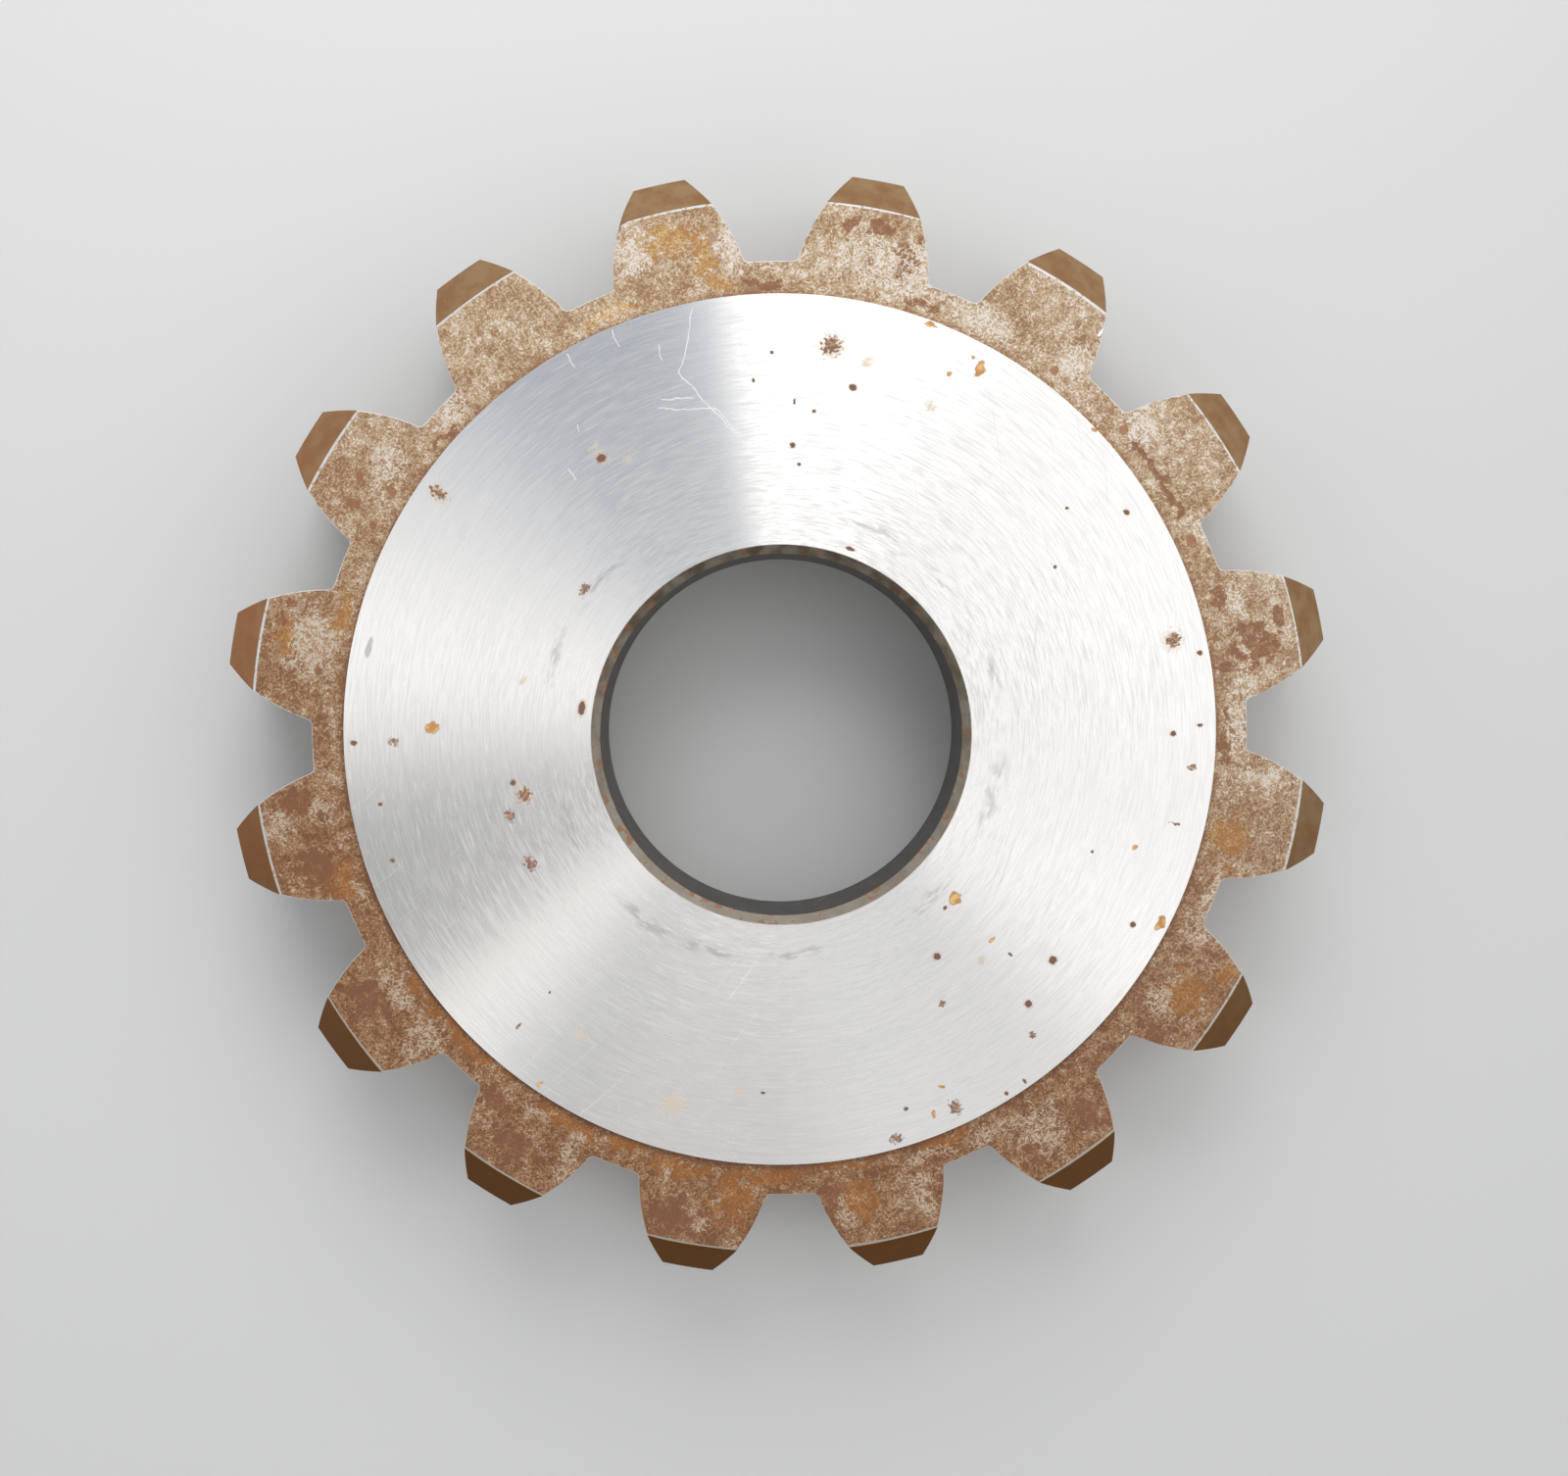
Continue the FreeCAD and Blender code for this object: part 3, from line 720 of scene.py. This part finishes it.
def bore():
    nodes = Nodes("bore")
    clouds = nodes.noise(nodes.mm, 0.5, detail=4)
    dots = nodes.step(nodes.noise(nodes.mm, 0.75), 0.62, 0.68)
    colour = nodes.mix(nodes.step(clouds, 0.35, 0.65), (0.036, 0.031, 0.027), (0.066, 0.058, 0.051))
    colour = nodes.mix(nodes.math("MULTIPLY", dots, 0.7), colour, (0.15, 0.065, 0.025))
    return nodes.finish(
        Base_Color=colour,
        Metallic=nodes.math("SUBTRACT", 0.5, dots, clamp=True),
        Roughness=0.42)


def underside(name, clean):
    """Ground steel with a tarnish over it, lighter the cleaner it is: the cutting face and the recess."""
    nodes = Nodes(name)
    clouds = nodes.noise(nodes.mm, 0.12, detail=4)
    tarnish = nodes.math("MULTIPLY", nodes.step(clouds, 0.35, 0.65), 1 - clean)
    rings = nodes.step(nodes.streaks(6.0, 0.3), 0.35, 0.65)
    colour = nodes.mix(rings, (0.50, 0.49, 0.47), (0.68, 0.67, 0.65))
    colour = nodes.mix(tarnish, colour, (0.30, 0.19, 0.11))
    return nodes.finish(
        Base_Color=colour,
        Metallic=nodes.math("SUBTRACT", 1.0, tarnish),
        Roughness=nodes.math("ADD", 0.3, nodes.math("MULTIPLY", tarnish, 0.3)),
        Anisotropic=0.6,
        Tangent=nodes.outward)


def worn_edge():
    nodes = Nodes("worn_edge")
    chips = nodes.step(nodes.noise(nodes.mm, 1.6), 0.36, 0.46)
    # Bare metal, darker toward the lower side: painted shade.
    bright = nodes.mix(nodes.toward(-0.25, -0.97, -10, 60), (0.92, 0.91, 0.90), (0.60, 0.56, 0.50))
    return nodes.finish(
        Base_Color=nodes.mix(chips, (0.50, 0.38, 0.27), bright),
        Metallic=nodes.math("MULTIPLY", chips, 0.5),
        Roughness=0.4)


def materials():
    """The materials in the order of MATERIALS."""
    return [ground_face(), tooth_back(), tip_bevel(), flank(), chamfer(), bore(),
            underside("cutting_face", 0.6), underside("recess", 0.3), worn_edge()]


# ---------------------------------------------------------------- the piece and the floor
FLOOR_HALF = 3.0
FLOOR_COLOUR = (0.66, 0.66, 0.655, 1)
FLOOR_ROUGHNESS = 0.9


def link(obj):
    bpy.context.scene.collection.objects.link(obj)
    return obj


def build_cutter():
    mesh = cutter_mesh()
    for material in materials():
        mesh.materials.append(material)
    cutter = link(bpy.data.objects.new("cutter", mesh))
    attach(cutter, "root")
    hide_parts(NODE)


def build_floor():
    mesh = bpy.data.meshes.new("floor")
    sides = [(-1, -1), (1, -1), (1, 1), (-1, 1)]
    mesh.from_pydata([(x * FLOOR_HALF, y * FLOOR_HALF, 0) for x, y in sides], [], [(0, 1, 2, 3)])
    material = bpy.data.materials.new("floor")
    material.use_nodes = True
    shader = material.node_tree.nodes["Principled BSDF"]
    shader.inputs["Base Color"].default_value = FLOOR_COLOUR
    shader.inputs["Roughness"].default_value = FLOOR_ROUGHNESS
    mesh.materials.append(material)
    floor = link(bpy.data.objects.new("floor", mesh))


# ---------------------------------------------------------------- the light
# Brightness and blueness of the studio's ceiling by direction, degrees counterclockwise from +X: soft
# boxes with gaps between them, which the ground face shows as sectors.
CEILING = [
    (0, 1.31, 0), (25, 1.24, 0), (38, 1.32, 0), (50, 1.60, 0), (82, 1.75, 0), (86, 0.55, 1.5),
    (93, 0.38, 1.5), (118, 0.37, 1.5), (126, 0.53, 1), (145, 0.84, 0.2), (157, 1.07, 0), (165, 1.18, 0),
    (175, 0.97, 0), (186, 0.36, 0.2), (206, 0.25, 0.2), (210, 0.60, -0.3), (213, 1.05, -0.3),
    (220, 1.00, 0), (226, 0.56, 0.2), (233, 0.46, 0.2), (240, 0.54, 0), (260, 0.54, 0), (272, 0.82, 0),
    (280, 0.80, 0), (295, 0.80, 0), (304, 1.12, 0), (311, 1.18, 0), (330, 1.05, 0), (350, 1.28, 0),
]
ZENITH = 0.85  # straight overhead
ZENITH_FADE = (0.9995, 0.985)  # heights of a direction, 1 straight up, over which the zenith turns to ceiling
WALLS = 0.15
WALLS_FADE = (0.55, 0.25)
LESS_RED, MORE_BLUE = 0.07, 0.12  # at a blueness of 1

KEY_PLACE = (-0.03, 0.27, 0.24)
KEY_SIZE = 0.22
KEY_POWER = 0.55


def build_studio():
    """The world's light: bright ceiling, darker walls."""
    world = bpy.data.worlds.new("studio")
    world.use_nodes = True
    tree = world.node_tree

    def add(kind, inputs, **settings):
        node = tree.nodes.new(kind)
        for name, value in settings.items():
            setattr(node, name, value)
        for key, value in inputs.items():
            if isinstance(value, bpy.types.NodeSocket):
                tree.links.new(value, node.inputs[key])
            else:
                node.inputs[key].default_value = value
        return node

    def fade(height, start, end):
        node = add("ShaderNodeMapRange", {0: height, 1: start, 2: end}, interpolation_type="SMOOTHSTEP")
        return node.outputs[0]

    def mix(share, a, b):
        return add("ShaderNodeMix", {0: share, 6: a, 7: b}, data_type="RGBA").outputs[2]

    split = add("ShaderNodeSeparateXYZ", {0: add("ShaderNodeTexCoord", {}).outputs["Generated"]})
    azimuth = add("ShaderNodeMath", {0: split.outputs["Y"], 1: split.outputs["X"]}, operation="ARCTAN2")
    turns = add("ShaderNodeMath", {0: azimuth.outputs[0], 1: 2 * math.pi}, operation="DIVIDE")
    share = add("ShaderNodeMath", {0: turns.outputs[0]}, operation="FRACT")
    ramp = add("ShaderNodeValToRGB", {0: share.outputs[0]})
    stops = ramp.color_ramp.elements
    stops.remove(stops[-1])
    for i, (degrees, level, blue) in enumerate(CEILING + [(360, *CEILING[0][1:])]):
        stop = stops[0] if i == 0 else stops.new(degrees / 360)
        stop.position = degrees / 360
        stop.color = (level * (1 - LESS_RED * blue), level, level * (1 + MORE_BLUE * blue), 1)

    height = split.outputs["Z"]
    ceiling = mix(fade(height, *ZENITH_FADE), (ZENITH, ZENITH, ZENITH, 1), ramp.outputs[0])
    sky = mix(fade(height, *WALLS_FADE), ceiling, (WALLS, WALLS, WALLS, 1))
    tree.links.new(sky, tree.nodes["Background"].inputs["Color"])
    bpy.context.scene.world = world


def build_key():
    """A soft lamp above the cutter's far side that lights it but isn't mirrored in it."""
    light = bpy.data.lights.new("key", "AREA")
    light.energy = KEY_POWER
    light.size = KEY_SIZE
    key = link(bpy.data.objects.new("key", light))
    aim = Matrix.Rotation(math.atan2(KEY_PLACE[1], KEY_PLACE[2]), 4, "X")
    key.matrix_world = Matrix.Rotation(-SEEN_TURN, 4, "Z") @ Matrix.Translation(KEY_PLACE) @ aim.inverted()
    key.visible_glossy = False


# ---------------------------------------------------------------- the view
# Nearly square above the ground face: the cutter's turn in the picture, the camera's tilt and lean from
# straight above, its distance from the ground face, and its shift to the right and up.
SEEN_TURN = math.radians(12.57)
TILT = math.radians(3.09)
LEAN = math.radians(0.82)
DISTANCE = 0.180
ASIDE = (0.00030, -0.00024)
LENS = 33.86
SENSOR = 36.0
NEAREST_SEEN = 0.01


def build_camera():
    data = bpy.data.cameras.new("camera")
    data.sensor_width = SENSOR
    data.lens = LENS
    data.clip_start = NEAREST_SEEN
    camera = link(bpy.data.objects.new("camera", data))
    camera.matrix_world = (
        Matrix.Translation((0, 0, TOP)) @ Matrix.Rotation(-SEEN_TURN, 4, "Z") @ Matrix.Rotation(-TILT, 4, "X")
        @ Matrix.Rotation(-LEAN, 4, "Y") @ Matrix.Translation((*ASIDE, DISTANCE)))
    bpy.context.scene.camera = camera


build_cutter()
build_floor()
build_studio()
build_key()
build_camera()
bpy.context.scene.view_settings.view_transform = "Standard"
